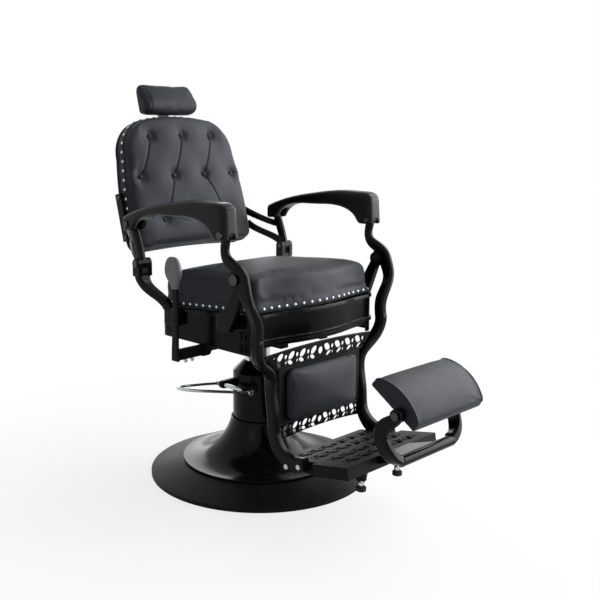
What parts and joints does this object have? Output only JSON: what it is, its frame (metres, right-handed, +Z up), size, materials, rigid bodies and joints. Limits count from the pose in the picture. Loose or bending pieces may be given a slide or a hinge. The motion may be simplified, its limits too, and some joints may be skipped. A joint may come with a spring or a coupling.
{
  "type": "hairdressing chair",
  "caption": "Reclining hairdressing chair with a tufted back, headrest, linked armrests and leg frame, flip-over foot pad and a hydraulic column on a round base.",
  "frame": {"origin": "centre of the base plate's underside, on the floor under the column axis", "axes": "+Z up along the column, -Y the way the sitter faces, +X the sitter's left"},
  "size_m": [0.6799, 1.1848, 1.2061],
  "materials": {
    "gloss_black": "gloss black enamel on cast iron and steel",
    "satin_black": "satin black powder coat",
    "steel": "turned and drawn steel",
    "bronze": "turned bronze",
    "chrome": "polished chrome plate",
    "leather": "black upholstery leather with a fine grain",
    "moulded_black": "gloss black moulded polyurethane",
    "rubber": "matte black rubber"
  },
  "bodies": {
    "base": {"base_plate": "steel", "base_dome": "satin_black", "bell_cover": "gloss_black", "pump_socket": "steel", "thrust_washer": "bronze"},
    "column": {"pump_cylinder": "steel", "ram_gland": "steel", "column_shroud": "satin_black", "lever_bracket": "steel"},
    "foot_lever": {"foot_lever": "chrome"},
    "seat": {"ram": "steel", "seat_spider": "satin_black", "apron": "gloss_black", "seat_border": "leather", "seat_nails": "chrome", "seat_cushion": "leather", "knee_bracket_left": "gloss_black", "knee_bracket_right": "gloss_black", "knee_pins": "chrome", "back_support_left": "gloss_black", "back_support_right": "gloss_black", "back_pins": "chrome", "shaft_hanger": "satin_black"},
    "recline_lever": {"lever_shaft": "steel", "lever_bar": "gloss_black", "lever_grip": "moulded_black", "lever_screws": "chrome"},
    "back": {"back_border": "leather", "back_board": "leather", "back_nails": "chrome", "back_cushion": "leather", "back_buttons": "leather", "bracket_screws": "chrome", "back_bracket_left": "gloss_black", "back_bracket_right": "gloss_black", "headrest_socket": "satin_black", "headrest_knob": "moulded_black"},
    "headrest": {"headrest_bar": "steel", "headrest_pad": "leather"},
    "arm_left": {"armrest_left": "moulded_black", "arm_pins_left": "chrome"},
    "arm_right": {"armrest_right": "moulded_black", "arm_pins_right": "chrome"},
    "leg_frame": {"leg_left": "gloss_black", "leg_right": "gloss_black", "foot_bolts": "chrome", "upper_lace": "gloss_black", "lower_lace": "gloss_black", "calf_board": "satin_black", "calf_cushion": "leather", "foot_plate": "gloss_black", "stop_studs": "chrome", "stop_feet": "rubber", "yoke_bar": "gloss_black", "yoke_prong_left": "gloss_black", "yoke_prong_right": "gloss_black"},
    "flip_pad": {"pad_board": "gloss_black", "pad_bolts": "chrome", "pad_cushion": "leather"}
  },
  "joints": [
    {"name": "swivel", "type": "hinge", "parent": "base", "child": "column", "pos_m": [0, 0, 0], "axis": [0, 0, 1], "continuous": true},
    {"name": "lift", "type": "slide", "parent": "column", "child": "seat", "axis": [0, 0, 1], "range_m": [0, 0.15]},
    {"name": "foot_lever_press", "type": "hinge", "parent": "column", "child": "foot_lever", "pos_m": [-0.108, 0, 0.285], "axis": [0, -1, 0], "range_deg": [0, 22], "stiffness_Nm_per_rad": 3, "springref_deg": -34.38},
    {"name": "recline", "type": "hinge", "parent": "seat", "child": "back", "pos_m": [0, 0.189, 0.667], "axis": [-1, 0, 0], "range_deg": [0, 45]},
    {"name": "leg_swing", "type": "hinge", "parent": "seat", "child": "leg_frame", "pos_m": [0, -0.225, 0.667], "axis": [-1, 0, 0], "range_deg": [0, 45]},
    {"name": "arm_left_link", "type": "hinge", "parent": "back", "child": "arm_left", "pos_m": [0.301, 0.227, 0.782], "axis": [-1, 0, 0], "range_deg": [-45, 0]},
    {"name": "arm_right_link", "type": "hinge", "parent": "back", "child": "arm_right", "pos_m": [-0.301, 0.227, 0.782], "axis": [-1, 0, 0], "range_deg": [-45, 0]},
    {"name": "recline_release", "type": "hinge", "parent": "seat", "child": "recline_lever", "pos_m": [-0.2, 0.012, 0.422], "axis": [1, 0, 0], "range_deg": [0, 20], "stiffness_Nm_per_rad": 3, "springref_deg": -28.65},
    {"name": "headrest_height", "type": "slide", "parent": "back", "child": "headrest", "axis": [0, 0.2588, 0.9659], "range_m": [0, 0.1]},
    {"name": "pad_flip", "type": "hinge", "parent": "leg_frame", "child": "flip_pad", "pos_m": [0, -0.651, 0.363], "axis": [1, 0, 0], "range_deg": [0, 145]}
  ],
  "couplings": [
    {"joint": "leg_swing", "follows": "recline", "ratio": 1},
    {"joint": "arm_left_link", "follows": "recline", "ratio": -1},
    {"joint": "arm_right_link", "follows": "recline", "ratio": -1}
  ]
}
